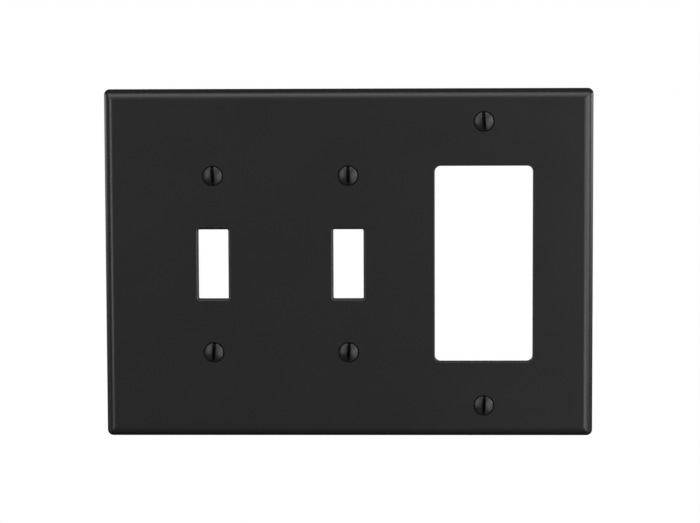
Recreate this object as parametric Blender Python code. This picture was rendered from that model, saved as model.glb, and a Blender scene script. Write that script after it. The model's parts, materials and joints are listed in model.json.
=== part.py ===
"""Three-gang wall plate cover with its captive screws.

One moulded plate with two toggle openings and a decorator opening, six
oval-head slotted screws, and the six washers that keep the screws in the
plate. Metres, +Z up. The front faces -Y and the wall plane is Y = 0.
"""

import math

import bmesh
import bpy
from mathutils import Matrix

MM = 0.001

# Gangs. The pitch, the openings and the screw spacings are the usual device sizes.
GANG_PITCH = 46.04 * MM
SINGLE_GANG_WIDTH = 74.61 * MM
TOGGLE_OPENING_WIDTH = 10.3 * MM
TOGGLE_OPENING_HEIGHT = 23.8 * MM
TOGGLE_OPENING_CORNER = 0.5 * MM
TOGGLE_OPENING_LIP = 0.8 * MM
TOGGLE_SCREW_SPACING = 60.33 * MM
DECORATOR_OPENING_WIDTH = 33.3 * MM
DECORATOR_OPENING_HEIGHT = 66.8 * MM
DECORATOR_OPENING_CORNER = 2.0 * MM
DECORATOR_OPENING_LIP = 0.4 * MM
DECORATOR_SCREW_SPACING = 96.84 * MM

# Plate. The side wall leans in, and a full round runs from it on to the flat face.
PLATE_HEIGHT = 119.06 * MM
PLATE_DEPTH = 5.8 * MM
FACE_WALL = 2.4 * MM
SKIRT_WALL = 1.9 * MM
CORNER_RADIUS = 2.0 * MM
SMALLEST_CORNER = 0.35 * MM
SIDE_DRAFT = math.radians(14.0)
EDGE_ROUND = 2.75 * MM
CAVITY_DRAFT = 1.0 * MM
CAVITY_CHAMFER_RUN = 0.6 * MM
CAVITY_CHAMFER_RISE = 0.5 * MM

# Back of the plate. The strap space is what a device's mounting strap takes up.
STRAP_SPACE = 1.8 * MM
BOSS_WALL = 2.2 * MM
BOSS_DRAFT = 0.3 * MM
RIM_WALL = 1.3 * MM
RIM_HEIGHT = 1.1 * MM
RIB_WIDTH = 1.2 * MM
UPRIGHT_RIB_HEIGHT = 1.3 * MM
CROSS_RIB_HEIGHT = 0.9 * MM
EMBED = 0.6 * MM

# Screws: oval head, slotted, number 6 with 32 threads to the inch. The overlap is
# the share of the head's cone that the threaded rod runs up into.
HEAD_DIAMETER = 6.3 * MM
HEAD_CONE_HALF_ANGLE = math.radians(41.0)
HEAD_DOME = 1.1 * MM
HEAD_RIM = 0.12 * MM
SLOT_WIDTH = 1.2 * MM
SLOT_DEPTH = 1.5 * MM
SCREW_LENGTH = 12.7 * MM
THREAD_DIAMETER = 3.5 * MM
THREAD_PITCH = 25.4 / 32.0 * MM
THREAD_DEPTH = 0.46 * MM
TIP_CHAMFER = 0.6 * MM
ROD_OVERLAP = 0.3

# Retaining washers.
RETAINER_THICKNESS = 0.8 * MM
RETAINER_CHAMFER = 0.15 * MM
RETAINER_OVERLAP = 1.6 * MM

# Clearances and travel.
SEAT_GAP = 0.45 * MM
HOLE_GAP = 0.3 * MM
RETAINER_GAP = 0.12 * MM
STOP_GAP = 0.3 * MM
SCREW_TRAVEL = 3.7 * MM

# Finishes as linear colour, roughness and metallic value.
PLATE_FINISH = ((0.024, 0.024, 0.024), 0.35, 0.0)
SCREW_FINISH = ((0.02, 0.02, 0.02), 0.4, 0.0)
RETAINER_FINISH = ((0.62, 0.6, 0.55), 0.45, 0.0)
SMOOTH_ANGLE = math.radians(35.0)

# Facets.
CORNER_SEGMENTS = 6
EDGE_SEGMENTS = 7
LIP_SEGMENTS = 4
CIRCLE_SEGMENTS = 24
THREAD_SEGMENTS = 10
DOME_SEGMENTS = 3

# Values that follow from the ones above.
PLATE_WIDTH = SINGLE_GANG_WIDTH + 2.0 * GANG_PITCH
FACE_Y = -PLATE_DEPTH
CEILING_Y = FACE_WALL - PLATE_DEPTH
BOSS_END_Y = -STRAP_SPACE
HOLE_RADIUS = THREAD_DIAMETER / 2.0 + HOLE_GAP
SEAT_RADIUS = HEAD_DIAMETER / 2.0 + SEAT_GAP
BOSS_RADIUS = HOLE_RADIUS + BOSS_WALL
RETAINER_Y = BOSS_END_Y + STOP_GAP + SCREW_TRAVEL

# Gang name, place across the plate, and distance between its two screws.
GANGS = (
    ("left", -GANG_PITCH, TOGGLE_SCREW_SPACING),
    ("middle", 0.0, TOGGLE_SCREW_SPACING),
    ("right", GANG_PITCH, DECORATOR_SCREW_SPACING),
)

# How far each slot leans from upright, in degrees, top towards +X.
SLOT_LEAN = {
    "left_upper": -3.0,
    "left_lower": 3.5,
    "middle_upper": -0.5,
    "middle_lower": 3.5,
    "right_upper": -3.0,
    "right_lower": 3.5,
}


def rounded_rectangle(width, height, corner, y, centre=(0.0, 0.0)):
    """Return one ring of points round a rectangle with rounded corners, at depth y."""
    points = []
    turns = ((1, 1), (-1, 1), (-1, -1), (1, -1))
    for quarter, (side_x, side_z) in enumerate(turns):
        arc_x = centre[0] + side_x * (width / 2.0 - corner)
        arc_z = centre[1] + side_z * (height / 2.0 - corner)
        for step in range(CORNER_SEGMENTS + 1):
            angle = math.pi / 2.0 * (quarter + step / CORNER_SEGMENTS)
            x = arc_x + corner * math.cos(angle)
            z = arc_z + corner * math.sin(angle)
            points.append((x, y, z))
    return points


def circle(radius, y, centre=(0.0, 0.0)):
    """Return one ring of points round a circle about the Y direction, at depth y."""
    points = []
    for step in range(CIRCLE_SEGMENTS):
        angle = 2.0 * math.pi * step / CIRCLE_SEGMENTS
        x = centre[0] + radius * math.cos(angle)
        z = centre[1] + radius * math.sin(angle)
        points.append((x, y, z))
    return points


def loft(name, rings):
    """Join rings of equally many points into a capped solid and return its object."""
    bm = bmesh.new()
    loops = [[bm.verts.new(point) for point in ring] for ring in rings]
    for loop, follower in zip(loops, loops[1:]):
        for i in range(len(loop)):
            bm.faces.new((loop[i - 1], loop[i], follower[i], follower[i - 1]))
    for loop in (loops[0], loops[-1]):
        bm.faces.new(loop)
    return mesh_object(name, bm)


def mesh_object(name, bm):
    """Turn a bmesh into a linked object whose faces point outwards."""
    bmesh.ops.recalc_face_normals(bm, faces=bm.faces[:])
    mesh = bpy.data.meshes.new(name)
    bm.to_mesh(mesh)
    bm.free()
    obj = bpy.data.objects.new(name, mesh)
    bpy.context.scene.collection.objects.link(obj)
    return obj


def combine(target, tool, operation):
    """Boolean the tool into the target for good, and remove the tool."""
    tool.hide_render = True
    tool.display_type = "WIRE"
    modifier = target.modifiers.new(operation.title(), "BOOLEAN")
    modifier.operation = operation
    modifier.solver = "EXACT"
    modifier.object = tool
    bpy.context.view_layer.update()
    graph = bpy.context.evaluated_depsgraph_get()
    result = bpy.data.meshes.new_from_object(target.evaluated_get(graph))
    target.modifiers.clear()
    before = target.data
    target.data = result
    bpy.data.meshes.remove(before)
    leftover = tool.data
    bpy.data.objects.remove(tool)
    bpy.data.meshes.remove(leftover)


def round_corner(before, corner, after, radius):
    """Return points of an arc that rounds the corner between two straight lines."""
    back = math.atan2(before[1] - corner[1], before[0] - corner[0])
    ahead = math.atan2(after[1] - corner[1], after[0] - corner[0])
    spread = (ahead - back) % (2.0 * math.pi)
    if spread > math.pi:
        spread -= 2.0 * math.pi
    half = spread / 2.0
    reach = radius / abs(math.sin(half))
    middle = back + half
    centre = (corner[0] + reach * math.cos(middle), corner[1] + reach * math.sin(middle))
    sweep = math.copysign(math.pi - abs(spread), -spread)
    start = middle + math.pi - sweep / 2.0
    points = []
    for step in range(EDGE_SEGMENTS + 1):
        angle = start + sweep * step / EDGE_SEGMENTS
        points.append((centre[0] + radius * math.cos(angle), centre[1] + radius * math.sin(angle)))
    return points


def edge_profile():
    """Return the plate's outer edge as (inset, height) points, from the wall up to the face."""
    wall = (0.0, 0.0)
    brow = (math.tan(SIDE_DRAFT) * PLATE_DEPTH, PLATE_DEPTH)
    inland = (brow[0] + 2.0 * EDGE_ROUND, PLATE_DEPTH)
    return [wall] + round_corner(wall, brow, inland, EDGE_ROUND)


def outline_ring(inset, height):
    """Return the plate's outline moved in by the inset, at a height above the wall."""
    width = PLATE_WIDTH - 2.0 * inset
    tall = PLATE_HEIGHT - 2.0 * inset
    corner = max(CORNER_RADIUS - inset, SMALLEST_CORNER)
    return rounded_rectangle(width, tall, corner, -height)


def plate_shell():
    """Return the plate without holes: face, rounded edge and hollow back."""
    ceiling = -CEILING_Y
    rings = [
        outline_ring(SKIRT_WALL + CAVITY_DRAFT + CAVITY_CHAMFER_RUN, ceiling),
        outline_ring(SKIRT_WALL + CAVITY_DRAFT, ceiling - CAVITY_CHAMFER_RISE),
        outline_ring(SKIRT_WALL, 0.0),
    ]
    rings += [outline_ring(inset, height) for inset, height in edge_profile()]
    return loft("wall_plate", rings)


def block(width, height, centre, corner, end_y):
    """Return a block that stands on the ceiling of the hollow and ends at end_y."""
    start = rounded_rectangle(width, height, corner, CEILING_Y - EMBED, centre)
    end = rounded_rectangle(width, height, corner, end_y, centre)
    return loft("block", [start, end])


def opening_cutter(width, height, centre, corner, lip):
    """Return a cutter for an opening whose front edge is rounded."""
    rings = [rounded_rectangle(width, height, corner, 0.0, centre)]
    profile = []
    for step in range(LIP_SEGMENTS + 1):
        angle = math.pi / 2.0 * step / LIP_SEGMENTS
        grow = lip * (1.0 - math.cos(angle))
        sunk = lip * (1.0 - math.sin(angle))
        profile.append((grow, sunk))
    last, crest = profile[-2:]
    beyond = (2.0 * crest[0] - last[0], 2.0 * crest[1] - last[1])
    for grow, sunk in profile[:-1] + [beyond]:
        size = (width + 2.0 * grow, height + 2.0 * grow)
        rings.append(rounded_rectangle(*size, corner + grow, FACE_Y + sunk, centre))
    return loft("opening_cutter", rings)


def hole_cutter(centre):
    """Return a cutter for a countersunk screw hole."""
    flare = math.tan(HEAD_CONE_HALF_ANGLE)
    outside = 0.5 * PLATE_DEPTH
    neck_y = FACE_Y + (SEAT_RADIUS - HOLE_RADIUS) / flare
    rings = [
        circle(SEAT_RADIUS + outside * flare, FACE_Y - outside, centre),
        circle(HOLE_RADIUS, neck_y, centre),
        circle(HOLE_RADIUS, 0.0, centre),
    ]
    return loft("hole_cutter", rings)


def openings():
    """Return (width, height, centre, corner, lip) of each device opening."""
    toggle = (TOGGLE_OPENING_WIDTH, TOGGLE_OPENING_HEIGHT)
    decorator = (DECORATOR_OPENING_WIDTH, DECORATOR_OPENING_HEIGHT)
    return (
        (*toggle, (-GANG_PITCH, 0.0), TOGGLE_OPENING_CORNER, TOGGLE_OPENING_LIP),
        (*toggle, (0.0, 0.0), TOGGLE_OPENING_CORNER, TOGGLE_OPENING_LIP),
        (*decorator, (GANG_PITCH, 0.0), DECORATOR_OPENING_CORNER, DECORATOR_OPENING_LIP),
    )


def screw_places():
    """Return the (x, z) place of every screw by name."""
    places = {}
    for gang, x, spacing in GANGS:
        places[f"{gang}_upper"] = (x, spacing / 2.0)
        places[f"{gang}_lower"] = (x, -spacing / 2.0)
    return places


def add_ribs(plate):
    """Join the stiffening ribs to the back: uprights between gangs, two rows across the toggles."""
    inner_height = PLATE_HEIGHT - 2.0 * SKIRT_WALL
    corner = RIB_WIDTH / 8.0
    for x in (-GANG_PITCH / 2.0, GANG_PITCH / 2.0):
        end_y = CEILING_Y + UPRIGHT_RIB_HEIGHT
        combine(plate, block(RIB_WIDTH, inner_height, (x, 0.0), corner, end_y), "UNION")
    left = SKIRT_WALL - PLATE_WIDTH / 2.0
    right = GANG_PITCH / 2.0
    row_z = (TOGGLE_OPENING_HEIGHT + TOGGLE_SCREW_SPACING) / 4.0
    for z in (-row_z, row_z):
        end_y = CEILING_Y + CROSS_RIB_HEIGHT
        centre = ((left + right) / 2.0, z)
        combine(plate, block(right - left, RIB_WIDTH, centre, corner, end_y), "UNION")


def build_plate():
    """Return the finished plate."""
    plate = plate_shell()
    add_ribs(plate)
    for width, height, centre, corner, _ in openings():
        size = (width + 2.0 * RIM_WALL, height + 2.0 * RIM_WALL)
        rim = block(*size, centre, corner + RIM_WALL, CEILING_Y + RIM_HEIGHT)
        combine(plate, rim, "UNION")
    for place in screw_places().values():
        foot = circle(BOSS_RADIUS + BOSS_DRAFT, CEILING_Y - EMBED, place)
        end = circle(BOSS_RADIUS, BOSS_END_Y, place)
        combine(plate, loft("boss", [foot, end]), "UNION")
    for opening in openings():
        combine(plate, opening_cutter(*opening), "DIFFERENCE")
    for place in screw_places().values():
        combine(plate, hole_cutter(place), "DIFFERENCE")
    return plate


def screw_head():
    """Return the domed head and its cone, with the head's rim at Y = 0."""
    radius = HEAD_DIAMETER / 2.0
    ball = (radius * radius + HEAD_DOME * HEAD_DOME) / (2.0 * HEAD_DOME)
    reach = math.asin(radius / ball)
    rings = []
    for step in range(1, DOME_SEGMENTS + 1):
        angle = reach * step / DOME_SEGMENTS
        height = ball * math.cos(angle) - (ball - HEAD_DOME)
        rings.append(circle(ball * math.sin(angle), -height))
    rings.append(circle(radius, HEAD_RIM))
    waist = (THREAD_DIAMETER - THREAD_DEPTH) / 2.0
    rings.append(circle(waist, HEAD_RIM + (radius - waist) / math.tan(HEAD_CONE_HALF_ANGLE)))
    return loft("head", rings)


def threaded_rod(start_y, end_y):
    """Return a right-handed threaded rod along Y, cut off square at both ends."""
    crest = THREAD_DIAMETER / 2.0
    root = crest - THREAD_DEPTH
    tooth = ((root, 0.0), (crest, 7.0 / 16.0), (crest, 9.0 / 16.0), (root, 1.0))
    turns = math.ceil((end_y - start_y) / THREAD_PITCH) + 2
    bm = bmesh.new()
    base_y = start_y - 1.5 * THREAD_PITCH
    verts = [bm.verts.new((radius, base_y + part * THREAD_PITCH, 0.0)) for radius, part in tooth]
    edges = [bm.edges.new(pair) for pair in zip(verts, verts[1:])]
    bmesh.ops.spin(
        bm,
        geom=verts + edges,
        cent=(0.0, 0.0, 0.0),
        axis=(0.0, 1.0, 0.0),
        dvec=(0.0, THREAD_PITCH / THREAD_SEGMENTS, 0.0),
        angle=2.0 * math.pi * turns,
        steps=THREAD_SEGMENTS * turns,
    )
    bmesh.ops.remove_doubles(bm, verts=bm.verts[:], dist=THREAD_PITCH / 1000.0)
    for y, outward in ((start_y, -1.0), (end_y, 1.0)):
        bmesh.ops.bisect_plane(
            bm,
            geom=bm.verts[:] + bm.edges[:] + bm.faces[:],
            dist=THREAD_PITCH / 10000.0,
            plane_co=(0.0, y, 0.0),
            plane_no=(0.0, outward, 0.0),
            clear_outer=True,
        )
        rim = [edge for edge in bm.edges if edge.is_boundary and is_at(edge, y)]
        bmesh.ops.contextual_create(bm, geom=rim)
    bmesh.ops.triangulate(bm, faces=bm.faces[:])
    return mesh_object("rod", bm)


def is_at(edge, y):
    """Tell whether both ends of an edge lie at depth y."""
    return all(abs(vert.co.y - y) < THREAD_PITCH / 1000.0 for vert in edge.verts)


def build_screw_mesh():
    """Return the mesh that all six screws share, with the head's rim at Y = 0."""
    screw = screw_head()
    radius = HEAD_DIAMETER / 2.0
    crest = THREAD_DIAMETER / 2.0
    cone_depth = (radius - crest) / math.tan(HEAD_CONE_HALF_ANGLE)
    start_y = HEAD_RIM + (1.0 - ROD_OVERLAP) * cone_depth
    rod = threaded_rod(start_y, SCREW_LENGTH)
    spare = 0.2 * crest
    trim = 0.02 * TIP_CHAMFER
    envelope = loft(
        "envelope",
        [
            circle(crest + spare, start_y - THREAD_PITCH),
            circle(crest + spare, SCREW_LENGTH - TIP_CHAMFER - spare),
            circle(crest - TIP_CHAMFER, SCREW_LENGTH - trim),
        ],
    )
    combine(rod, envelope, "INTERSECT")
    combine(screw, rod, "UNION")
    slot = loft("slot", slot_rings(radius))
    combine(screw, slot, "DIFFERENCE")
    mesh = screw.data
    bpy.data.objects.remove(screw)
    return mesh


def slot_rings(radius):
    """Return the rings of the cutter for the screw's slot."""
    size = (SLOT_WIDTH, 3.0 * radius)
    corner = SLOT_WIDTH / 20.0
    front = rounded_rectangle(*size, corner, -2.0 * HEAD_DOME)
    floor = rounded_rectangle(*size, corner, SLOT_DEPTH - HEAD_DOME)
    return [front, floor]


def build_retainer_mesh():
    """Return the mesh that all six retaining washers share, with its front at Y = 0."""
    inner = THREAD_DIAMETER / 2.0 + RETAINER_GAP
    outer = HOLE_RADIUS + RETAINER_OVERLAP
    back = RETAINER_THICKNESS
    rings = [
        circle(outer - RETAINER_CHAMFER, 0.0),
        circle(outer, RETAINER_CHAMFER),
        circle(outer, back - RETAINER_CHAMFER),
        circle(outer - RETAINER_CHAMFER, back),
    ]
    washer = loft("washer", rings)
    bore = loft("bore", [circle(inner, -back), circle(inner, 2.0 * back)])
    combine(washer, bore, "DIFFERENCE")
    mesh = washer.data
    bpy.data.objects.remove(washer)
    return mesh


def make_material(name, colour, roughness, metallic):
    """Return a Principled material with one plain finish."""
    material = bpy.data.materials.new(name)
    material.use_nodes = True
    shader = material.node_tree.nodes["Principled BSDF"]
    shader.inputs["Base Color"].default_value = (*colour, 1.0)
    shader.inputs["Roughness"].default_value = roughness
    shader.inputs["Metallic"].default_value = metallic
    material.diffuse_color = (*colour, 1.0)
    return material


def finish(mesh, material):
    """Give a mesh its material and shade its round faces smooth."""
    mesh.materials.clear()
    mesh.materials.append(material)
    mesh.shade_smooth()
    mesh.set_sharp_from_angle(angle=SMOOTH_ANGLE)


def place(name, mesh, location, lean=0.0):
    """Add a named piece with its origin on its joint axis."""
    obj = bpy.data.objects.new(name, mesh)
    obj.matrix_world = Matrix.Translation(location) @ Matrix.Rotation(lean, 4, "Y")
    bpy.context.scene.collection.objects.link(obj)
    return obj


def main():
    """Build the whole part in an empty scene."""
    for obj in list(bpy.data.objects):
        bpy.data.objects.remove(obj)
    plate = build_plate()
    finish(plate.data, make_material("plate_black", *PLATE_FINISH))
    screw_mesh = build_screw_mesh()
    finish(screw_mesh, make_material("screw_black", *SCREW_FINISH))
    retainer_mesh = build_retainer_mesh()
    finish(retainer_mesh, make_material("retainer_nylon", *RETAINER_FINISH))
    for spot, (x, z) in screw_places().items():
        place(f"screw_{spot}", screw_mesh, (x, FACE_Y, z), math.radians(SLOT_LEAN[spot]))
        place(f"retainer_{spot}", retainer_mesh, (x, RETAINER_Y, z))


main()
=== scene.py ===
"""Looks of the wall plate cover: the moulded plate, its slotted screws and their washers.

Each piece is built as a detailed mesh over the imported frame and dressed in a
procedural finish. A plain studio and the camera stand at the end.
"""

from __future__ import annotations

import json
import logging
import math
from dataclasses import dataclass, replace
from enum import Enum
from typing import Any, Callable, ClassVar, Sequence

import bmesh
import bpy
from mathutils import Matrix, Vector

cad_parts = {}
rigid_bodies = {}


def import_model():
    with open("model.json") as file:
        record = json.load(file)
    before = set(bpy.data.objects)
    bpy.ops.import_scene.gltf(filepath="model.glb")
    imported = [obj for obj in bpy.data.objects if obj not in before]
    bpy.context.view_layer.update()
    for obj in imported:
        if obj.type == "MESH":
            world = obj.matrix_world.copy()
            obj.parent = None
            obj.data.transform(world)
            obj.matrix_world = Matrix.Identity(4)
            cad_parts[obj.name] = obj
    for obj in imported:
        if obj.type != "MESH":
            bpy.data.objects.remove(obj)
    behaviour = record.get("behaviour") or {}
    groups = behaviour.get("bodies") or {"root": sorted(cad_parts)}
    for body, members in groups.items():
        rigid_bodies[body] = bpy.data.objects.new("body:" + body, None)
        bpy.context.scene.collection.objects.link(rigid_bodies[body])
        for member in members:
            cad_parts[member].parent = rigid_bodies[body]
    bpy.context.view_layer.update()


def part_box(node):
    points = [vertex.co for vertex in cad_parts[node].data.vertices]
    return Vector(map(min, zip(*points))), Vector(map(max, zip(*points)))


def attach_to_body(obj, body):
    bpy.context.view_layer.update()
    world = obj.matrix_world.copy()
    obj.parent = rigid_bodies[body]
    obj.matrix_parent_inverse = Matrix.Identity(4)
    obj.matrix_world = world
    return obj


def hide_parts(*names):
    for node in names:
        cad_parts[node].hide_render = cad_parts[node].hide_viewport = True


LOG = logging.getLogger("wall_plate_cover")

MM = 0.001
# Name of the face mark for recesses, which the finishes paint as shade and make rougher.
RECESS = "recess"
# Colour towards which recesses get painted shade.
BLACK = (0.0, 0.0, 0.0)
WHITE = (1.0, 1.0, 1.0)

SMOOTH_ANGLE = math.radians(32.0)
FLAT_WEIGHT = 60
CIRCLE_STEPS = 72
CORNER_STEPS = 10
OPENING_CORNER_STEPS = 8
RIB_CORNER_STEPS = 6

Pair = tuple[float, float]
Point = tuple[float, float, float]
Colour = tuple[float, float, float]
Ring = list[Point]


class Fuse(Enum):
    """How a second solid is worked into the first."""

    ADD = "UNION"
    CUT = "DIFFERENCE"


class Gang(Enum):
    """The plate's gangs, named as seen from the front."""

    LEFT = "left"
    MIDDLE = "middle"
    RIGHT = "right"


class Row(Enum):
    """Which of a gang's two screws."""

    UPPER = "upper"
    LOWER = "lower"


class Term:
    """A node socket that can be used in plain arithmetic."""

    def __init__(self, kit: NodeKit, socket: bpy.types.NodeSocket) -> None:
        self.kit = kit
        self.socket = socket

    def math(self, operation: str, *others: Term | float) -> Term:
        """Add a Math node that starts with this socket.

        Args:
            operation: The Math node's operation.
            others: Its further operands.

        Returns:
            The result as a term.
        """
        operands = dict(enumerate((self, *others)))
        return self.kit.term("ShaderNodeMath", {"operation": operation}, operands)

    def flipped(self, operation: str, other: float) -> Term:
        """Add a Math node that ends with this socket and return its result."""
        return self.kit.term("ShaderNodeMath", {"operation": operation}, {0: other, 1: self})

    def __add__(self, other: Term | float) -> Term:
        """Add."""
        return self.math("ADD", other)

    __radd__ = __add__

    def __sub__(self, other: Term | float) -> Term:
        """Subtract."""
        return self.math("SUBTRACT", other)

    def __rsub__(self, other: float) -> Term:
        """Subtract from a number."""
        return self.flipped("SUBTRACT", other)

    def __mul__(self, other: Term | float) -> Term:
        """Multiply."""
        return self.math("MULTIPLY", other)

    __rmul__ = __mul__

    def __truediv__(self, other: Term | float) -> Term:
        """Divide."""
        return self.math("DIVIDE", other)

    def __rtruediv__(self, other: float) -> Term:
        """Divide a number."""
        return self.flipped("DIVIDE", other)

    def clamped(self, low: Term | float, high: Term | float) -> Term:
        """Return the value kept between two others."""
        return self.math("MAXIMUM", low).math("MINIMUM", high)

    def ramp(self, start: float, end: float) -> Term:
        """Rise smoothly from 0 to 1.

        Args:
            start: The value up to which the result is 0.
            end: The value from which it is 1.

        Returns:
            The risen value as a term.
        """
        return self.kit.term(
            "ShaderNodeMapRange",
            {"interpolation_type": "SMOOTHSTEP"},
            {"Value": self, "From Min": start, "From Max": end},
        )


class NodeKit:
    """Makes and links the nodes of one tree."""

    def __init__(self, tree: bpy.types.NodeTree) -> None:
        """Keep the tree."""
        self.tree = tree

    def node(
        self,
        kind: str,
        settings: dict[str, Any] | None = None,
        sockets: dict[str | int, Any] | None = None,
    ) -> bpy.types.Node:
        """Add one node.

        Args:
            kind: The node's type.
            settings: Properties of the node, set first.
            sockets: Values or links of its inputs, by name or number.

        Returns:
            The new node.
        """
        made = self.tree.nodes.new(kind)
        for name, value in (settings or {}).items():
            setattr(made, name, value)
        for key, value in (sockets or {}).items():
            self.feed(made.inputs[key], value)
        return made

    def feed(self, socket: bpy.types.NodeSocket, value: Any) -> None:
        """Give an input its value.

        Args:
            socket: The input.
            value: A term to link, several for an input that takes many, or a plain value.
        """
        if isinstance(value, Term):
            self.tree.links.new(value.socket, socket)
        elif isinstance(value, list):
            for term in reversed(value):
                self.tree.links.new(term.socket, socket)
        else:
            socket.default_value = value

    def term(
        self,
        kind: str,
        settings: dict[str, Any] | None = None,
        sockets: dict[str | int, Any] | None = None,
        output: str | int = 0,
    ) -> Term:
        """Add one node and take one of its outputs.

        Args:
            kind: The node's type.
            settings: Properties of the node, set first.
            sockets: Values or links of its inputs, by name or number.
            output: Name or number of the output.

        Returns:
            The output as a term.
        """
        return Term(self, self.node(kind, settings, sockets).outputs[output])

    def vector(
        self, x: Term | float = 0.0, y: Term | float = 0.0, z: Term | float = 0.0
    ) -> Term:
        """Return a vector put together from its three parts."""
        return self.term("ShaderNodeCombineXYZ", sockets={"X": x, "Y": y, "Z": z})

    def parts(self, vector: Term) -> tuple[Term, ...]:
        """Return the three parts of a vector."""
        split = self.node("ShaderNodeSeparateXYZ", sockets={0: vector})
        return tuple(Term(self, split.outputs[axis]) for axis in "XYZ")

    def noise(self, per_metre: float, detail: float = 2.0, roughness: float = 0.5) -> Term:
        """Add a noise that is fixed to the piece.

        Args:
            per_metre: How many spots it has in a metre.
            detail: How many finer layers it has.
            roughness: How much the finer layers count.

        Returns:
            The noise, about 0 to 1.
        """
        place = self.term("ShaderNodeTexCoord", output="Object")
        sizes = {"Scale": per_metre, "Detail": detail, "Roughness": roughness}
        return self.term("ShaderNodeTexNoise", sockets={"Vector": place, **sizes})

    def mixed(self, share: Term, first: Term | Colour, second: Colour) -> Term:
        """Mix two colours.

        Args:
            share: Share of the second colour, from 0 to 1.
            first: The first colour.
            second: The second colour.

        Returns:
            The mixed colour.
        """
        start = first if isinstance(first, Term) else (*first, 1.0)
        colours = {"Factor": share, 6: start, 7: (*second, 1.0)}
        return self.term("ShaderNodeMix", {"data_type": "RGBA"}, colours, 2)

    def recess(self) -> Term:
        """Return how far a face is the inside of a recess, from 0 to 1, which the finishes paint as
        shade and make rougher.
        """
        return self.term("ShaderNodeAttribute", {"attribute_name": RECESS}, output="Fac")

    def bump(self, height: Term, distance: float, strength: float) -> Term:
        """Return the normal of a surface with fine relief."""
        relief = {"Strength": strength, "Distance": distance, "Height": height}
        return self.term("ShaderNodeBump", sockets=relief)


def new_material(name: str) -> tuple[bpy.types.Material, NodeKit, bpy.types.Node]:
    """Start a material.

    Args:
        name: The material's name.

    Returns:
        The material, its node kit and its Principled shader.
    """
    material = bpy.data.materials.new(name)
    material.use_nodes = True
    kit = NodeKit(material.node_tree)
    return material, kit, material.node_tree.nodes["Principled BSDF"]


def toned(colour: Colour, share: float) -> Colour:
    """Return a colour made darker or lighter."""
    return tuple(share * part for part in colour)


@dataclass(frozen=True)
class MouldedPlastic:
    """Matte black moulded plastic with a fine, even grain, and painted shade in its screw holes."""

    name: str = "moulded_plastic_black"
    colour: Colour = (0.0235, 0.0235, 0.0235)
    tones: Pair = (0.93, 1.07)
    least_roughness: float = 0.28
    cloud_roughness: float = 0.06
    grain_roughness: float = 0.04
    specular: float = 0.5
    # How far recesses are painted towards black: painted shade.
    painted_recess_shade: float = 0.97
    recess_roughness: float = 0.55
    cloud_per_metre: float = 38.0
    cloud_detail: float = 3.0
    cloud_breakup: float = 0.55
    cloud_share: float = 0.7
    grain_per_metre: float = 3600.0
    grain_relief: float = 0.7
    pits_per_metre: float = 1980.0
    pits_relief: float = 0.5
    relief_height: float = 0.014 * MM
    relief_strength: float = 0.55

    def make(self) -> bpy.types.Material:
        """Build the material.

        Returns:
            The finished material.
        """
        material, kit, shader = new_material(self.name)
        cloud = kit.noise(self.cloud_per_metre, self.cloud_detail, self.cloud_breakup)
        grain = kit.noise(self.grain_per_metre)
        place = kit.term("ShaderNodeTexCoord", output="Object")
        pits = kit.term(
            "ShaderNodeTexVoronoi",
            {"feature": "F1"},
            {"Vector": place, "Scale": self.pits_per_metre},
            "Distance",
        )
        recess = kit.recess()
        darker, lighter = (toned(self.colour, tone) for tone in self.tones)
        mottle = cloud * self.cloud_share + grain * (1.0 - self.cloud_share)
        tint = kit.mixed(mottle, darker, lighter)
        # Painted shade: faces marked as a recess are mixed towards black.
        kit.feed(shader.inputs["Base Color"], kit.mixed(recess * self.painted_recess_shade, tint, BLACK))
        rough = self.least_roughness + cloud * self.cloud_roughness + grain * self.grain_roughness
        kit.feed(shader.inputs["Roughness"], rough + recess * self.recess_roughness)
        shader.inputs["Specular IOR Level"].default_value = self.specular
        height = grain * self.grain_relief + pits * self.pits_relief
        relief = kit.bump(height, self.relief_height, self.relief_strength)
        kit.feed(shader.inputs["Normal"], relief)
        return material


@dataclass(frozen=True)
class CoatedSteel:
    """Steel with a satin black coating, slightly uneven as dipped coatings are, and painted shade
    in its slot.
    """

    name: str = "coated_steel_black"
    colour: Colour = (0.019, 0.019, 0.019)
    tones: Pair = (0.85, 1.25)
    least_roughness: float = 0.35
    patch_roughness: float = 0.1
    specular: float = 0.5
    # How far recesses are painted towards black: painted shade.
    painted_recess_shade: float = 0.97
    recess_roughness: float = 0.4
    patch_per_metre: float = 420.0
    patch_edge: Pair = (0.35, 0.7)
    peel_per_metre: float = 2400.0
    peel_detail: float = 2.5
    peel_height: float = 0.012 * MM
    peel_strength: float = 0.5

    def make(self) -> bpy.types.Material:
        """Build the material.

        Returns:
            The finished material.
        """
        material, kit, shader = new_material(self.name)
        peel = kit.noise(self.peel_per_metre, self.peel_detail)
        patch = kit.noise(self.patch_per_metre)
        recess = kit.recess()
        darker, lighter = (toned(self.colour, tone) for tone in self.tones)
        tint = kit.mixed(patch.ramp(*self.patch_edge), darker, lighter)
        # Painted shade: faces marked as a recess, the slot, are mixed towards black.
        kit.feed(shader.inputs["Base Color"], kit.mixed(recess * self.painted_recess_shade, tint, BLACK))
        rough = self.least_roughness + patch * self.patch_roughness
        kit.feed(shader.inputs["Roughness"], rough + recess * self.recess_roughness)
        shader.inputs["Specular IOR Level"].default_value = self.specular
        relief = kit.bump(peel, self.peel_height, self.peel_strength)
        kit.feed(shader.inputs["Normal"], relief)
        return material


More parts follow.
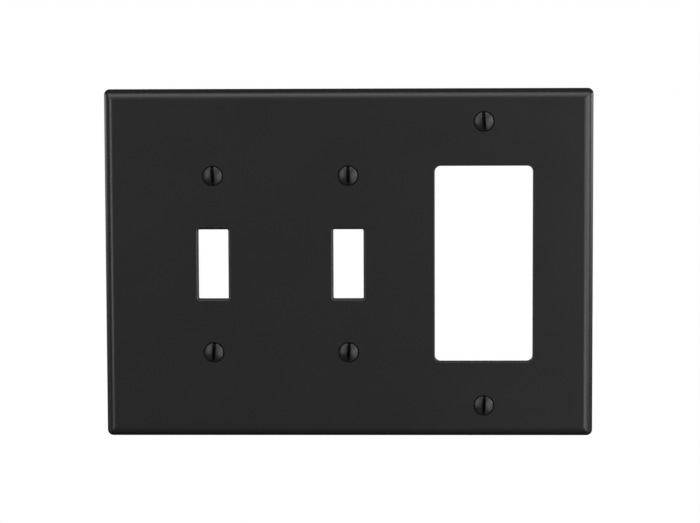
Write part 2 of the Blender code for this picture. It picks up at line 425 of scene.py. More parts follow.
@dataclass(frozen=True)
class NaturalNylon:
    """Uncoloured nylon: milky, with a faint cloudiness."""

    name: str = "natural_nylon"
    colour: Colour = (0.62, 0.6, 0.55)
    cloud_tone: float = 0.86
    least_roughness: float = 0.42
    scuff_roughness: float = 0.14
    milkiness: float = 0.15
    milky_depth: float = 0.8 * MM
    cloud_per_metre: float = 520.0
    cloud_detail: float = 3.0
    scuff_per_metre: float = 3000.0
    scuff_height: float = 0.01 * MM
    scuff_strength: float = 0.4

    def make(self) -> bpy.types.Material:
        """Build the material.

        Returns:
            The finished material.
        """
        material, kit, shader = new_material(self.name)
        cloud = kit.noise(self.cloud_per_metre, self.cloud_detail)
        scuff = kit.noise(self.scuff_per_metre)
        darker = toned(self.colour, self.cloud_tone)
        kit.feed(shader.inputs["Base Color"], kit.mixed(cloud, darker, self.colour))
        rough = self.least_roughness + scuff * self.scuff_roughness
        kit.feed(shader.inputs["Roughness"], rough)
        shader.inputs["Subsurface Weight"].default_value = self.milkiness
        shader.inputs["Subsurface Scale"].default_value = self.milky_depth
        relief = kit.bump(scuff, self.scuff_height, self.scuff_strength)
        kit.feed(shader.inputs["Normal"], relief)
        return material


@dataclass(frozen=True)
class PaleFloor:
    """The studio's pale, dull floor, very slightly uneven."""

    name: str = "pale_floor"
    tones: Pair = (0.7, 0.74)
    roughness: float = 0.9
    cloud_per_metre: float = 6.0

    def make(self) -> bpy.types.Material:
        """Build the material.

        Returns:
            The finished material.
        """
        material, kit, shader = new_material(self.name)
        darker, lighter = (toned(WHITE, tone) for tone in self.tones)
        tint = kit.mixed(kit.noise(self.cloud_per_metre), darker, lighter)
        kit.feed(shader.inputs["Base Color"], tint)
        shader.inputs["Roughness"].default_value = self.roughness
        return material


def circle_ring(radius: float, y: float, centre: Pair, steps: int = CIRCLE_STEPS) -> Ring:
    """Return points round a circle that faces along Y.

    Args:
        radius: The circle's radius.
        y: Depth of the ring.
        centre: Place across and up.
        steps: Number of points.

    Returns:
        The points in order.
    """
    turn = 2.0 * math.pi / steps
    return [
        (centre[0] + radius * math.cos(turn * i), y, centre[1] + radius * math.sin(turn * i))
        for i in range(steps)
    ]


def rectangle_ring(
    size: Pair,
    corner: float,
    y: float,
    centre: Pair = (0.0, 0.0),
    steps: int = CORNER_STEPS,
) -> Ring:
    """Return points round a rectangle with rounded corners that faces along Y.

    Args:
        size: Width and height.
        corner: Corner radius.
        y: Depth of the ring.
        centre: Place across and up.
        steps: Segments in each corner.

    Returns:
        The points in order.
    """
    points: Ring = []
    for quarter, (side_x, side_z) in enumerate(((1, 1), (-1, 1), (-1, -1), (1, -1))):
        arc_x = centre[0] + side_x * (size[0] / 2.0 - corner)
        arc_z = centre[1] + side_z * (size[1] / 2.0 - corner)
        for step in range(steps + 1):
            angle = math.pi / 2.0 * (quarter + step / steps)
            points.append((arc_x + corner * math.cos(angle), y, arc_z + corner * math.sin(angle)))
    return points


def loft(name: str, rings: Sequence[Ring], recess: float = 0.0) -> bpy.types.Object:
    """Join rings of equally many points into a capped solid.

    Args:
        name: Name of the new object.
        rings: The rings from one end to the other.
        recess: How far its faces count as the inside of a recess, from 0 to 1, which the finish
            paints as shade.

    Returns:
        The linked object, its faces pointing outwards.
    """
    bm = bmesh.new()
    loops = [[bm.verts.new(point) for point in ring] for ring in rings]
    for loop, follower in zip(loops, loops[1:]):
        for i in range(len(loop)):
            bm.faces.new((loop[i - 1], loop[i], follower[i], follower[i - 1]))
    for loop in (loops[0], loops[-1]):
        bm.faces.new(loop)
    bmesh.ops.recalc_face_normals(bm, faces=bm.faces[:])
    mesh = bpy.data.meshes.new(name)
    bm.to_mesh(mesh)
    bm.free()
    depth = mesh.attributes.new(RECESS, "FLOAT", "FACE")
    depth.data.foreach_set("value", [recess] * len(mesh.polygons))
    return link(name, mesh)


def link(name: str, mesh: bpy.types.Mesh) -> bpy.types.Object:
    """Put a mesh into the scene as an object at the origin.

    Args:
        name: Name of the new object.
        mesh: Its mesh.

    Returns:
        The linked object.
    """
    obj = bpy.data.objects.new(name, mesh)
    bpy.context.scene.collection.objects.link(obj)
    return obj


def settle(obj: bpy.types.Object) -> None:
    """Make the result of an object's modifiers its plain mesh.

    Args:
        obj: The object, whose modifiers are then removed.
    """
    bpy.context.view_layer.update()
    graph = bpy.context.evaluated_depsgraph_get()
    result = bpy.data.meshes.new_from_object(obj.evaluated_get(graph))
    obj.modifiers.clear()
    before = obj.data
    obj.data = result
    bpy.data.meshes.remove(before)


def fuse(target: bpy.types.Object, tool: bpy.types.Object, way: Fuse) -> None:
    """Work a second solid into the first and remove it.

    Args:
        target: The solid that stays.
        tool: The solid that is added or cut away.
        way: Whether to add or to cut.
    """
    modifier = target.modifiers.new(way.name.title(), "BOOLEAN")
    modifier.operation = way.value
    modifier.solver = "EXACT"
    modifier.object = tool
    settle(target)
    leftover = tool.data
    bpy.data.objects.remove(tool)
    bpy.data.meshes.remove(leftover)


def shade(obj: bpy.types.Object, material: bpy.types.Material) -> None:
    """Smooth the round faces of a piece, keep its flats flat, and dress it.

    Args:
        obj: The piece.
        material: Its finish.
    """
    mesh = obj.data
    mesh.shade_smooth()
    mesh.set_sharp_from_angle(angle=SMOOTH_ANGLE)
    flats = obj.modifiers.new("Flats", "WEIGHTED_NORMAL")
    flats.keep_sharp = True
    flats.weight = FLAT_WEIGHT
    settle(obj)
    obj.data.materials.clear()
    obj.data.materials.append(material)


def attach(obj: bpy.types.Object, body: str, slot: str, *nodes: str) -> None:
    """Let a finished piece ride on a body, in place of the nodes that it stands for.

    Args:
        obj: The finished piece.
        body: The body that carries it.
        slot: The record's material slot; not used.
        nodes: The frame's nodes that it replaces.
    """
    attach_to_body(obj, body)
    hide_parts(*nodes)
    LOG.info("%s: %d faces, rides on %s", obj.name, len(obj.data.polygons), body)


@dataclass(frozen=True)
class ScrewSpot:
    """Where one screw sits, read from the frame, and how far its slot leans."""

    gang: Gang
    row: Row
    lean: float = 0.0

    @property
    def label(self) -> str:
        """The ending that this spot's nodes share."""
        return f"{self.gang.value}_{self.row.value}"

    @property
    def centre(self) -> Pair:
        """Place of the screw's axis across and up."""
        low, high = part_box(f"retainer_{self.label}")
        middle = (low + high) / 2.0
        return middle.x, middle.z

    @property
    def crown(self) -> float:
        """Depth of the screw's foremost point."""
        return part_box(f"screw_{self.label}")[0].y

    @property
    def washer_front(self) -> float:
        """Depth of the washer's front face."""
        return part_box(f"retainer_{self.label}")[0].y


SPOTS = (
    ScrewSpot(Gang.LEFT, Row.UPPER, math.radians(-3.0)),
    ScrewSpot(Gang.LEFT, Row.LOWER, math.radians(3.5)),
    ScrewSpot(Gang.MIDDLE, Row.UPPER, math.radians(-0.5)),
    ScrewSpot(Gang.MIDDLE, Row.LOWER, math.radians(3.5)),
    ScrewSpot(Gang.RIGHT, Row.UPPER, math.radians(-3.0)),
    ScrewSpot(Gang.RIGHT, Row.LOWER, math.radians(3.5)),
)


@dataclass(frozen=True)
class Opening:
    """One device opening in the plate's face."""

    width: float
    height: float
    corner: float
    lip: float
    x: float = 0.0

    def ring(self, grow: float, y: float) -> Ring:
        """Return the opening's outline, grown all round, at a depth."""
        size = (self.width + 2.0 * grow, self.height + 2.0 * grow)
        return rectangle_ring(size, self.corner + grow, y, (self.x, 0.0), OPENING_CORNER_STEPS)


@dataclass
class CoverPlate:
    """The moulded plate: flat face, rounded edge, drafted skirt, ribbed and bossed back."""

    finish: MouldedPlastic
    toggle: Opening = Opening(10.3 * MM, 23.8 * MM, 0.5 * MM, 0.8 * MM)
    decorator: Opening = Opening(33.3 * MM, 66.8 * MM, 2.0 * MM, 0.4 * MM)
    face_wall: float = 2.4 * MM
    skirt_wall: float = 1.9 * MM
    corner: float = 2.0 * MM
    smallest_corner: float = 0.35 * MM
    side_draft: float = math.radians(14.0)
    edge_round: float = 2.75 * MM
    cavity_draft: float = 1.0 * MM
    cavity_chamfer_run: float = 0.6 * MM
    cavity_chamfer_rise: float = 0.5 * MM
    cavity_bend_run: float = 0.2 * MM
    cavity_bend_rise: float = 0.12 * MM
    strap_space: float = 1.8 * MM
    hole_radius: float = 2.05 * MM
    seat_radius: float = 3.6 * MM
    seat_angle: float = math.radians(41.0)
    boss_radius: float = 4.25 * MM
    boss_draft: float = 0.3 * MM
    rim_wall: float = 1.3 * MM
    rim_height: float = 1.1 * MM
    rib_width: float = 1.2 * MM
    rib_corner: float = 0.15 * MM
    upright_rib: float = 1.3 * MM
    cross_rib: float = 0.9 * MM
    embed: float = 0.6 * MM
    ejector_radius: float = 2.25 * MM
    ejector_depth: float = 0.14 * MM
    ejector_across: float = 14.0 * MM
    ejector_up: float = 42.0 * MM
    edge_steps: int = 18
    lip_steps: int = 6

    def __post_init__(self) -> None:
        """Read the plate's outer size and the gangs' pitch from the frame."""
        low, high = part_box("wall_plate")
        self.size = (high.x - low.x, high.z - low.z)
        self.depth = high.y - low.y
        self.face_y = low.y
        self.ceiling_y = low.y + self.face_wall
        self.pitch = ScrewSpot(Gang.RIGHT, Row.UPPER).centre[0]
        self.openings = (
            replace(self.toggle, x=-self.pitch),
            self.toggle,
            replace(self.decorator, x=self.pitch),
        )

    def rounded(self, before: Pair, corner: Pair, after: Pair, radius: float) -> list[Pair]:
        """Return the arc that rounds a corner of the plate's section.

        Args:
            before: The section's point before the corner.
            corner: The corner itself.
            after: The point after it.
            radius: Radius of the arc.

        Returns:
            Points of the arc in order.
        """
        back = math.atan2(before[1] - corner[1], before[0] - corner[0])
        ahead = math.atan2(after[1] - corner[1], after[0] - corner[0])
        spread = (ahead - back + math.pi) % (2.0 * math.pi) - math.pi
        middle = back + spread / 2.0
        reach = radius / abs(math.sin(spread / 2.0))
        centre = (corner[0] + reach * math.cos(middle), corner[1] + reach * math.sin(middle))
        sweep = math.copysign(math.pi - abs(spread), -spread)
        first = middle + math.pi - sweep / 2.0
        angles = [first + sweep * i / self.edge_steps for i in range(self.edge_steps + 1)]
        return [
            (centre[0] + radius * math.cos(a), centre[1] + radius * math.sin(a)) for a in angles
        ]

    def section(self) -> list[Pair]:
        """Return the outer edge's section.

        Returns:
            Points as inset and height, from the wall up to the face.
        """
        wall = (0.0, 0.0)
        brow = (math.tan(self.side_draft) * self.depth, self.depth)
        inland = (brow[0] + 2.0 * self.edge_round, self.depth)
        return [wall] + self.rounded(wall, brow, inland, self.edge_round)

    def outline(self, inset: float, height: float) -> Ring:
        """Return the plate's outline moved in by the inset, at a height above the wall."""
        size = (self.size[0] - 2.0 * inset, self.size[1] - 2.0 * inset)
        return rectangle_ring(size, max(self.corner - inset, self.smallest_corner), -height)

    def shell(self) -> bpy.types.Object:
        """Build the plate without its holes, ribs and bosses.

        Returns:
            The shell, lofted from the hollow's ceiling out to the face.
        """
        ceiling = -self.ceiling_y
        drafted = self.skirt_wall + self.cavity_draft
        hollow = (
            (drafted + self.cavity_chamfer_run, ceiling),
            (drafted + self.cavity_bend_run, ceiling - self.cavity_bend_rise),
            (drafted, ceiling - self.cavity_chamfer_rise),
            (self.skirt_wall, 0.0),
        )
        rings = [self.outline(inset, height) for inset, height in (*hollow, *self.section())]
        return loft("moulded_cover", rings)

    def add_rib(self, plate: bpy.types.Object, size: Pair, centre: Pair, rise: float) -> None:
        """Stand a rib on the ceiling of the hollow.

        Args:
            plate: The plate so far.
            size: Width and height.
            centre: Place across and up.
            rise: How far it stands off the ceiling.
        """
        foot, end = (
            rectangle_ring(size, self.rib_corner, y, centre, RIB_CORNER_STEPS)
            for y in (self.ceiling_y - self.embed, self.ceiling_y + rise)
        )
        fuse(plate, loft("rib", [foot, end]), Fuse.ADD)

    def add_ribs(self, plate: bpy.types.Object) -> None:
        """Add the uprights between the gangs and the two rows across the toggle gangs.

        Args:
            plate: The plate so far.
        """
        tall = self.size[1] - 2.0 * self.skirt_wall
        for x in (-self.pitch / 2.0, self.pitch / 2.0):
            self.add_rib(plate, (self.rib_width, tall), (x, 0.0), self.upright_rib)
        left = self.skirt_wall - self.size[0] / 2.0
        right = self.pitch / 2.0
        screw_z = ScrewSpot(Gang.LEFT, Row.UPPER).centre[1]
        row_z = (self.toggle.height / 2.0 + screw_z) / 2.0
        for z in (-row_z, row_z):
            centre = ((left + right) / 2.0, z)
            self.add_rib(plate, (right - left, self.rib_width), centre, self.cross_rib)

    def add_rims_and_bosses(self, plate: bpy.types.Object) -> None:
        """Add the rim round each opening and the boss round each screw hole.

        Args:
            plate: The plate so far.
        """
        foot_y = self.ceiling_y - self.embed
        for opening in self.openings:
            foot = opening.ring(self.rim_wall, foot_y)
            end = opening.ring(self.rim_wall, self.ceiling_y + self.rim_height)
            fuse(plate, loft("rim", [foot, end]), Fuse.ADD)
        for spot in SPOTS:
            foot = circle_ring(self.boss_radius + self.boss_draft, foot_y, spot.centre)
            end = circle_ring(self.boss_radius, -self.strap_space, spot.centre)
            fuse(plate, loft("boss", [foot, end]), Fuse.ADD)

    def press_ejector_marks(self, plate: bpy.types.Object) -> None:
        """Sink the round marks of the mould's ejector pins into the ceiling, four to a gang.

        Args:
            plate: The plate so far.
        """
        for opening in self.openings:
            for side, end in ((1, 1), (-1, 1), (-1, -1), (1, -1)):
                centre = (opening.x + side * self.ejector_across, end * self.ejector_up)
                floor_y = self.ceiling_y - self.ejector_depth
                floor = circle_ring(self.ejector_radius, floor_y, centre)
                above = circle_ring(self.ejector_radius, self.ceiling_y + self.embed, centre)
                fuse(plate, loft("ejector_mark", [floor, above]), Fuse.CUT)

    def opening_cutter(self, opening: Opening) -> bpy.types.Object:
        """Build the cutter of an opening, flared so that the front edge comes out rounded.

        Args:
            opening: The opening.

        Returns:
            The cutter, which runs from the wall out past the face.
        """
        angles = [math.pi / 2.0 * step / self.lip_steps for step in range(self.lip_steps + 1)]
        profile = [
            (opening.lip * (1.0 - math.cos(angle)), opening.lip * (1.0 - math.sin(angle)))
            for angle in angles
        ]
        last, crest = profile[-2:]
        beyond = (2.0 * crest[0] - last[0], 2.0 * crest[1] - last[1])
        rings = [opening.ring(0.0, 0.0)]
        for grow, sunk in profile[:-1] + [beyond]:
            rings.append(opening.ring(grow, self.face_y + sunk))
        return loft("opening_cutter", rings)

    def hole_cutter(self, centre: Pair) -> bpy.types.Object:
        """Build the cutter of a countersunk screw hole.

        Args:
            centre: Place across and up.

        Returns:
            The cutter, its faces marked as the inside of a recess, into which the plate's finish
            paints shade.
        """
        flare = math.tan(self.seat_angle)
        outside = self.depth / 2.0
        neck_y = self.face_y + (self.seat_radius - self.hole_radius) / flare
        rings = [
            circle_ring(self.seat_radius + outside * flare, self.face_y - outside, centre),
            circle_ring(self.hole_radius, neck_y, centre),
            circle_ring(self.hole_radius, 0.0, centre),
        ]
        # Marked fully as a recess, so the countersink and hole get painted shade.
        return loft("hole_cutter", rings, 1.0)

    def build(self) -> bpy.types.Object:
        """Build the whole moulding.

        Returns:
            The moulding, not yet dressed.
        """
        plate = self.shell()
        self.add_ribs(plate)
        self.add_rims_and_bosses(plate)
        for opening in self.openings:
            fuse(plate, self.opening_cutter(opening), Fuse.CUT)
        for spot in SPOTS:
            fuse(plate, self.hole_cutter(spot.centre), Fuse.CUT)
        self.press_ejector_marks(plate)
        return plate

    def dress(self, plate: bpy.types.Object) -> None:
        """Shade the plate, give it its finish and set it on its body."""
        shade(plate, self.finish.make())
        attach(plate, "wall_plate", "plate_black", "wall_plate")


class GeometryRecipe:
    """A Geometry Nodes tree under construction, with named inputs."""

    KINDS: ClassVar[dict[type, str]] = {
        int: "NodeSocketInt",
        float: "NodeSocketFloat",
        tuple: "NodeSocketVector",
        bpy.types.Material: "NodeSocketMaterial",
    }

    def __init__(self, name: str, values: dict[str, Any]) -> None:
        """Start a tree.

        Args:
            name: The tree's name.
            values: A value for each of its named inputs, which tells the input's kind.
        """
        self.tree = bpy.data.node_groups.new(name, "GeometryNodeTree")
        self.kit = NodeKit(self.tree)
        for way in ("INPUT", "OUTPUT"):
            self.add_socket("Geometry", way, "NodeSocketGeometry")
        self.identifiers = {
            key: self.add_socket(key, "INPUT", self.KINDS[type(value)]).identifier
            for key, value in values.items()
        }
        self.source = self.tree.nodes.new("NodeGroupInput")

    def add_socket(self, name: str, way: str, kind: str) -> bpy.types.NodeTreeInterfaceSocket:
        """Add a socket to the tree's own inputs or outputs and return it."""
        return self.tree.interface.new_socket(name, in_out=way, socket_type=kind)

    def __getitem__(self, name: str) -> Term:
        """Return a named input as a term."""
        return Term(self.kit, self.source.outputs[name])

    def lathe(
        self,
        columns: Term,
        rows: Term | int,
        radius: Callable[[Term, Term], Term],
        depth: Callable[[Term, Term], Term],
    ) -> Term:
        """Turn a grid into a surface round the Y axis.

        Args:
            columns: Segments round the axis.
            rows: Segments along the surface.
            radius: Gives the radius from the shares round and along.
            depth: Gives the place along Y from the same shares.

        Returns:
            The surface, open at its ends.
        """
        kit = self.kit
        counts = {"Vertices X": columns + 1, "Vertices Y": rows + 1}
        grid = kit.term("GeometryNodeMeshGrid", sockets={"Size X": 1.0, "Size Y": 1.0, **counts})
        across, up, _ = kit.parts(kit.term("GeometryNodeInputPosition"))
        share_round = across + 0.5
        share_along = up + 0.5
        angle = share_round * (2.0 * math.pi)
        out = radius(share_round, share_along)
        point = kit.vector(
            angle.math("COSINE") * out,
            depth(share_round, share_along),
            angle.math("SINE") * out,
        )
        return kit.term("GeometryNodeSetPosition", sockets={"Geometry": grid, "Position": point})

    def welded(self, surfaces: list[Term], distance: float) -> Term:
        """Join surfaces into one and weld them where they meet.

        Args:
            surfaces: The surfaces.
            distance: How far apart two points may be that become one.

        Returns:
            The one surface.
        """
        joined = self.kit.term("GeometryNodeJoinGeometry", sockets={0: surfaces})
        weld = {"Geometry": joined, "Distance": distance}
        return self.kit.term("GeometryNodeMergeByDistance", sockets=weld)

    def moved(self, geometry: Term, place: Term, turn: Term | Point = (0.0, 0.0, 0.0)) -> Term:
        """Return a geometry turned and then moved to a place."""
        change = {"Geometry": geometry, "Translation": place, "Rotation": turn}
        return self.kit.term("GeometryNodeTransform", sockets=change)

    def marked(self, geometry: Term, recess: Term | float) -> Term:
        """Return a surface whose faces say how far they are the inside of a recess, where the
        finish paints shade.

        Args:
            geometry: The surface.
            recess: How far, from 0 to 1.

        Returns:
            The marked surface.
        """
        return self.kit.term(
            "GeometryNodeStoreNamedAttribute",
            {"data_type": "FLOAT", "domain": "FACE"},
            {"Geometry": geometry, "Name": RECESS, "Value": recess},
        )

    def finish(self, geometry: Term) -> None:
        """End the tree in plain mesh with its finish.

        Args:
            geometry: The whole piece.
        """
        whole = self.kit.term("GeometryNodeRealizeInstances", sockets={"Geometry": geometry})
        dress = {"Geometry": whole, "Material": self["Finish"]}
        dressed = self.kit.term("GeometryNodeSetMaterial", sockets=dress)
        self.kit.node("NodeGroupOutput", sockets={0: dressed})

    def make(self, obj: bpy.types.Object, values: dict[str, Any]) -> None:
        """Run the tree on an object and keep the result as its plain mesh.

        Args:
            obj: The object whose mesh is replaced.
            values: Value of each named input.
        """
        modifier = obj.modifiers.new(self.tree.name, "NODES")
        modifier.node_group = self.tree
        for name, value in values.items():
            modifier[self.identifiers[name]] = value
        settle(obj)


@dataclass
class SlottedScrew:
    """An oval-head slotted machine screw, its thread cut by rule along a helix."""

    finish: CoatedSteel
    face_y: float
    head_radius: float = 3.15 * MM
    crown_spare: float = 0.02 * MM
    rim: float = 0.12 * MM
    cone_angle: float = math.radians(41.0)
    slot_width: float = 1.2 * MM
    slot_depth: float = 1.5 * MM
    # Share of the head's radius from which the slot's painted shade fades out.
    slot_painted_shade_share: float = 0.75
    thread_radius: float = 1.75 * MM
    thread_depth: float = 0.46 * MM
    thread_start: float = 0.7
    tooth_slope: float = 1.3
    tooth_sunk: float = 0.12
    pitch: float = 25.4 / 32.0 * MM
    length: float = 12.68 * MM
    tip_chamfer: float = 0.6 * MM
    weld: float = 0.004 * MM
    columns: int = 48
    dome_rows: int = 8
    cone_rows: int = 6
    tip_rows: int = 3
    rows_per_turn: int = 8
    slot_pieces: int = 36

    def sizes(self, spot: ScrewSpot, material: bpy.types.Material) -> dict[str, Any]:
        """Work out the tree's inputs for one screw.

        Args:
            spot: Where the screw sits.
            material: Its finish.

        Returns:
            A value for each input.
        """
        root = self.thread_radius - self.thread_depth
        waist_y = self.rim + (self.head_radius - root) / math.tan(self.cone_angle)
        turns = math.floor((self.length - waist_y) / self.pitch)
        x, z = spot.centre
        return {
            "Head Radius": self.head_radius,
            "Dome Height": self.face_y - spot.crown + self.crown_spare,
            "Rim Height": self.rim,
            "Waist Depth": waist_y,
            "Thread Radius": self.thread_radius,
            "Thread Depth": self.thread_depth,
            "Pitch": (self.length - waist_y) / turns,
            "Turns": turns,
            "Tip Chamfer": self.tip_chamfer,
            "Slot Width": self.slot_width,
            "Slot Depth": self.slot_depth,
            "Columns": self.columns,
            "Rows per Turn": self.rows_per_turn,
            "Place": (x, self.face_y, z),
            "Lean": spot.lean,
            "Finish": material,
        }

    def head(self, recipe: GeometryRecipe, root: Term) -> list[Term]:
        """Make the head's surfaces.

        Args:
            recipe: The screw's tree.
            root: Radius at the foot of the thread.

        Returns:
            The dome, the rim and the cone under it.
        """
        columns = recipe["Columns"]
        wide = recipe["Head Radius"]
        dome = recipe["Dome Height"]
        rim = recipe["Rim Height"]
        waist = recipe["Waist Depth"]
        ball = (wide * wide + dome * dome) / (2.0 * dome)
        reach = (wide / ball).math("ARCSINE")
        crown = recipe.lathe(
            columns,
            self.dome_rows,
            lambda around, along: ball * (along * reach).math("SINE"),
            lambda around, along: ball - dome - ball * (along * reach).math("COSINE"),
        )
        edge = recipe.lathe(
            columns,
            1,
            lambda around, along: wide,
            lambda around, along: rim * along,
        )
        cone = recipe.lathe(
            columns,
            self.cone_rows,
            lambda around, along: wide + (root - wide) * along,
            lambda around, along: rim + (waist - rim) * along,
        )
        return [crown, edge, cone]

    def thread(self, recipe: GeometryRecipe, root: Term) -> list[Term]:
        """Make the thread's surfaces.

        Args:
            recipe: The screw's tree.
            root: Radius at the foot of the thread.

        Returns:
            The thread and the flat tip.
        """
        columns = recipe["Columns"]
        waist = recipe["Waist Depth"]
        pitch = recipe["Pitch"]
        passes = recipe["Turns"] + 1
        run = recipe["Turns"] * pitch

        def depth(around: Term, along: Term) -> Term:
            """Return the place along the thread, sheared by one pitch a turn, held at both ends."""
            return (along * passes * pitch - (1.0 - around) * pitch).clamped(0.0, run)

        def radius(around: Term, along: Term) -> Term:
            """Give the thread its tooth, faded in under the head and chamfered at the tip.

            Args:
                around: Share of the turn.
                along: Share of the surface's length.

            Returns:
                The thread's radius.
            """
            phase = (along * passes).math("FRACT")
            slope = 1.0 - (phase * 2.0 - 1.0).math("ABSOLUTE")
            tooth = (slope * self.tooth_slope - self.tooth_sunk).clamped(0.0, 1.0)
            place = depth(around, along)
            starts = (place / (pitch * self.thread_start)).math("MINIMUM", 1.0)
            ends = ((run - place) / recipe["Tip Chamfer"]).math("MINIMUM", 1.0)
            return root + recipe["Thread Depth"] * tooth * starts.math("MINIMUM", ends)

        helix = recipe.lathe(
            columns,
            passes * recipe["Rows per Turn"],
            radius,
            lambda around, along: waist + depth(around, along),
        )
        tip = recipe.lathe(
            columns,
            self.tip_rows,
            lambda around, along: root * (1.0 - along),
            lambda around, along: waist + run,
        )
        return [helix, tip]

    def slot_cutter(self, recipe: GeometryRecipe) -> Term:
        """Make the cutter of the slot, marked as a recess for painted shade except near the slot's
        ends.

        Args:
            recipe: The screw's tree.

        Returns:
            The cutter, longer than the head and higher than its dome.
        """
        kit = recipe.kit
        wide = recipe["Head Radius"]
        depth = recipe["Slot Depth"]
        size = kit.vector(recipe["Slot Width"], depth * 4.0, wide * 3.0)
        pieces = {"Size": size, "Vertices Z": self.slot_pieces + 1}
        block = kit.term("GeometryNodeMeshCube", sockets=pieces)
        floor_y = depth - recipe["Dome Height"]
        block = recipe.moved(block, kit.vector(y=floor_y - depth * 2.0))
        up = kit.parts(kit.term("GeometryNodeInputPosition"))[2]
        outward = up.math("ABSOLUTE") / wide
        # Painted shade on the slot's walls, fading out towards the slot's ends.
        return recipe.marked(block, 1.0 - outward.ramp(self.slot_painted_shade_share, 1.0))

    def recipe(self, values: dict[str, Any]) -> GeometryRecipe:
        """Build the screw's tree.

        Args:
            values: A value for each of its inputs.

        Returns:
            The finished tree.
        """
        recipe = GeometryRecipe("slotted screw", values)
        root = recipe["Thread Radius"] - recipe["Thread Depth"]
        body = recipe.welded(self.head(recipe, root) + self.thread(recipe, root), self.weld)
        slotted = recipe.kit.term(
            "GeometryNodeMeshBoolean",
            {"operation": "DIFFERENCE", "solver": "EXACT"},
            {"Mesh 1": recipe.marked(body, 0.0), "Mesh 2": self.slot_cutter(recipe)},
        )
        lean = recipe.kit.vector(y=recipe["Lean"])
        recipe.finish(recipe.moved(slotted, recipe["Place"], lean))
        return recipe

    def build(self) -> None:
        """Build, dress and attach one screw at every spot."""
        material = self.finish.make()
        recipe = self.recipe(self.sizes(SPOTS[0], material))
        for spot in SPOTS:
            screw = link(f"slotted_screw_{spot.label}", bpy.data.meshes.new("screw"))
            recipe.make(screw, self.sizes(spot, material))
            shade(screw, material)
            node = f"screw_{spot.label}"
            attach(screw, node, "screw_black", node)


@dataclass
class PushWasher:
    """A thin washer with tongues that grip the thread."""

    finish: NaturalNylon
    outer_radius: float = 3.65 * MM
    tongue_radius: float = 1.83 * MM
    notch_radius: float = 2.5 * MM
    thickness: float = 0.8 * MM
    tongues: int = 8
    edge_round: float = 0.12 * MM
    edge_steps: int = 2
    edge_angle: float = math.radians(50.0)
    weld: float = 0.002 * MM

    def sizes(self, spot: ScrewSpot, material: bpy.types.Material) -> dict[str, Any]:
        """Work out the tree's inputs for one washer.

        Args:
            spot: The screw that it sits on.
            material: Its finish.

        Returns:
            A value for each input.
        """
        x, z = spot.centre
        return {
            "Outer Radius": self.outer_radius,
            "Tongue Radius": self.tongue_radius,
            "Notch Radius": self.notch_radius,
            "Thickness": self.thickness,
            "Tongues": self.tongues,
            "Place": (x, spot.washer_front, z),
            "Finish": material,
        }

    def recipe(self, values: dict[str, Any]) -> GeometryRecipe:
        """Build the washer's tree: a disc with a star-shaped bore, raised to its thickness.

        Args:
            values: A value for each of its inputs.

        Returns:
            The finished tree.
        """
        recipe = GeometryRecipe("push washer", values)
        kit = recipe.kit
        circle = {"Resolution": CIRCLE_STEPS, "Radius": recipe["Outer Radius"]}
        rim = kit.term("GeometryNodeCurvePrimitiveCircle", sockets=circle)
        star = {
            "Points": recipe["Tongues"],
            "Inner Radius": recipe["Tongue Radius"],
            "Outer Radius": recipe["Notch Radius"],
        }
        bore = kit.term("GeometryNodeCurveStar", sockets=star)
        outline = kit.term("GeometryNodeJoinGeometry", sockets={0: [rim, bore]})
        face = kit.term("GeometryNodeFillCurve", {"mode": "TRIANGLES"}, {"Curve": outline})
        lift = {"Offset": kit.vector(z=1.0), "Offset Scale": recipe["Thickness"]}
        raised = kit.term(
            "GeometryNodeExtrudeMesh",
            {"mode": "FACES"},
            {"Mesh": face, **lift, "Individual": False},
        )
        under = kit.term("GeometryNodeFlipFaces", sockets={"Mesh": face})
        disc = recipe.welded([raised, under], self.weld)
        recipe.finish(recipe.moved(disc, recipe["Place"], (-math.pi / 2.0, 0.0, 0.0)))
        return recipe

    def soften(self, washer: bpy.types.Object) -> None:
        """Round the washer's edges.

        Args:
            washer: The washer's object.
        """
        bevel = washer.modifiers.new("Edges", "BEVEL")
        bevel.width = self.edge_round
        bevel.segments = self.edge_steps
        bevel.limit_method = "ANGLE"
        bevel.angle_limit = self.edge_angle
        settle(washer)

    def build(self) -> None:
        """Build, dress and attach one washer at every spot."""
        material = self.finish.make()
        recipe = self.recipe(self.sizes(SPOTS[0], material))
        for spot in SPOTS:
            washer = link(f"push_washer_{spot.label}", bpy.data.meshes.new("washer"))
            recipe.make(washer, self.sizes(spot, material))
            self.soften(washer)
            shade(washer, material)
            node = f"retainer_{spot.label}"
            attach(washer, node, "retainer_nylon", node)


@dataclass(frozen=True)
class Softbox:
    """One rectangular studio lamp, aimed at the frame's origin."""

    name: str
    place: Point
    size: Pair
    level: float
    mirrored: bool = True

    def build(self) -> None:
        """Add the lamp at its level, where 1 looks as bright as the white surroundings."""
        lamp = bpy.data.lights.new(self.name, "AREA")
        lamp.shape = "RECTANGLE"
        lamp.size, lamp.size_y = self.size
        lamp.energy = math.pi * self.size[0] * self.size[1] * self.level
        obj = bpy.data.objects.new(self.name, lamp)
        obj.location = self.place
        obj.rotation_euler = (-Vector(self.place)).to_track_quat("-Z", "Y").to_euler()
        obj.visible_glossy = self.mirrored
        bpy.context.scene.collection.objects.link(obj)


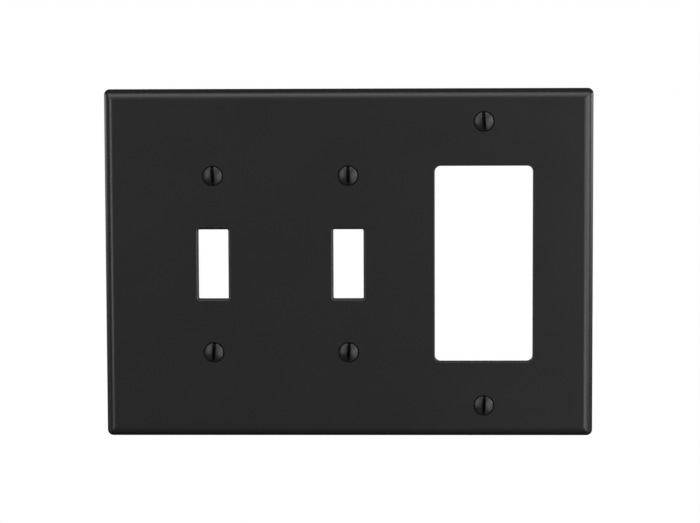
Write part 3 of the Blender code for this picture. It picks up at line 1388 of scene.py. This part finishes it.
@dataclass
class Studio:
    """White studio with a pale floor, softboxes all round, and the camera."""

    finish: PaleFloor
    floor_z: float = -1.2
    floor_radius: float = 1.6
    floor_steps: int = 96
    ambient: float = 0.06
    band_behind: Pair = (0.2, 0.75)
    band_height: float = 0.11
    distance: float = 0.9
    azimuth: float = math.radians(1.5)
    elevation: float = math.radians(5.1)
    roll: float = math.radians(-0.21)
    lens: float = 135.27
    sensor: float = 36.0
    clip: Pair = (0.01, 50.0)
    aim: Point = (0.00041, 0.0, 0.00045)
    lamps: tuple[Softbox, ...] = (
        Softbox("overhead", (0.0, -0.2, 0.7), (0.85, 0.62), 1.75),
        Softbox("high_front", (0.0, -0.6, 0.52), (0.8, 0.25), 0.5),
        Softbox("high_left", (-0.5, -0.55, 0.5), (0.35, 0.35), 0.8),
        Softbox("left_side", (-0.56, -0.57, 0.14), (0.3, 0.66), 3.2),
        Softbox("left_rear", (-0.75, 0.2, 0.0), (0.3, 0.7), 0.31),
        Softbox("right_side", (0.7, -0.2, 0.2), (0.6, 0.6), 2.9),
        Softbox("right_front", (0.47, -0.65, 0.0), (0.32, 0.6), 2.45),
        Softbox("low_right_fill", (0.34, -0.3, -0.22), (0.2, 0.2), 2.6),
        Softbox("rear", (0.5, 0.8, 0.15), (0.5, 0.5), 11.0, mirrored=False),
    )

    def add_floor(self) -> None:
        """Add the pale floor, which reflections leave out."""
        ring = circle_ring(self.floor_radius, 0.0, (0.0, 0.0), self.floor_steps)
        mesh = bpy.data.meshes.new("floor")
        corners = [(x, z, self.floor_z) for x, _, z in ring]
        mesh.from_pydata(corners, [], [list(range(self.floor_steps))])
        mesh.materials.append(self.finish.make())
        floor = link("floor", mesh)
        floor.visible_glossy = False

    def add_surroundings(self) -> None:
        """Make the surroundings white to the camera, and a white band to reflections."""
        world = bpy.data.worlds.new("studio")
        world.use_nodes = True
        bpy.context.scene.world = world
        world.node_tree.nodes.clear()
        kit = NodeKit(world.node_tree)
        _, inward, up = kit.parts(kit.term("ShaderNodeTexCoord", output="Generated"))
        level = 1.0 - up.math("ABSOLUTE").ramp(0.0, self.band_height)
        band = inward.ramp(*self.band_behind) * level
        path = kit.node("ShaderNodeLightPath")
        camera, glossy, clear, diffuse = (
            Term(kit, path.outputs[f"Is {ray} Ray"])
            for ray in ("Camera", "Glossy", "Transmission", "Diffuse")
        )
        strength = camera + glossy.math("MAXIMUM", clear) * band + diffuse * self.ambient
        light = {"Color": (*WHITE, 1.0), "Strength": strength}
        white = kit.term("ShaderNodeBackground", sockets=light)
        kit.node("ShaderNodeOutputWorld", sockets={"Surface": white})

    def add_camera(self) -> None:
        """Add the camera at the photograph's viewing angle."""
        data = bpy.data.cameras.new("camera")
        data.lens = self.lens
        data.sensor_width = self.sensor
        data.clip_start, data.clip_end = self.clip
        level = math.cos(self.elevation)
        back = Vector(
            (
                math.sin(self.azimuth) * level,
                -math.cos(self.azimuth) * level,
                math.sin(self.elevation),
            )
        )
        turned = (-back).to_track_quat("-Z", "Y").to_matrix().to_4x4()
        place = Matrix.Translation(Vector(self.aim) + back * self.distance)
        camera = bpy.data.objects.new("camera", data)
        camera.matrix_world = place @ turned @ Matrix.Rotation(self.roll, 4, "Z")
        bpy.context.scene.collection.objects.link(camera)
        bpy.context.scene.camera = camera

    def build(self) -> None:
        """Set up the floor, surroundings, lamps and camera."""
        self.add_floor()
        self.add_surroundings()
        for lamp in self.lamps:
            lamp.build()
        self.add_camera()
        bpy.context.scene.view_settings.view_transform = "Standard"
        LOG.info("studio: %d lamps", len(self.lamps))


def clear_scene() -> None:
    """Remove the objects that Blender starts with."""
    for obj in list(bpy.data.objects):
        bpy.data.objects.remove(obj)


def main() -> None:
    """Build every piece over the frame, then the studio."""
    logging.basicConfig(level=logging.INFO, format="%(name)s: %(message)s")
    clear_scene()
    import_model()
    plate = CoverPlate(MouldedPlastic())
    plate.dress(plate.build())
    SlottedScrew(CoatedSteel(), plate.face_y).build()
    PushWasher(NaturalNylon()).build()
    Studio(PaleFloor()).build()


if __name__ == "__main__":
    main()
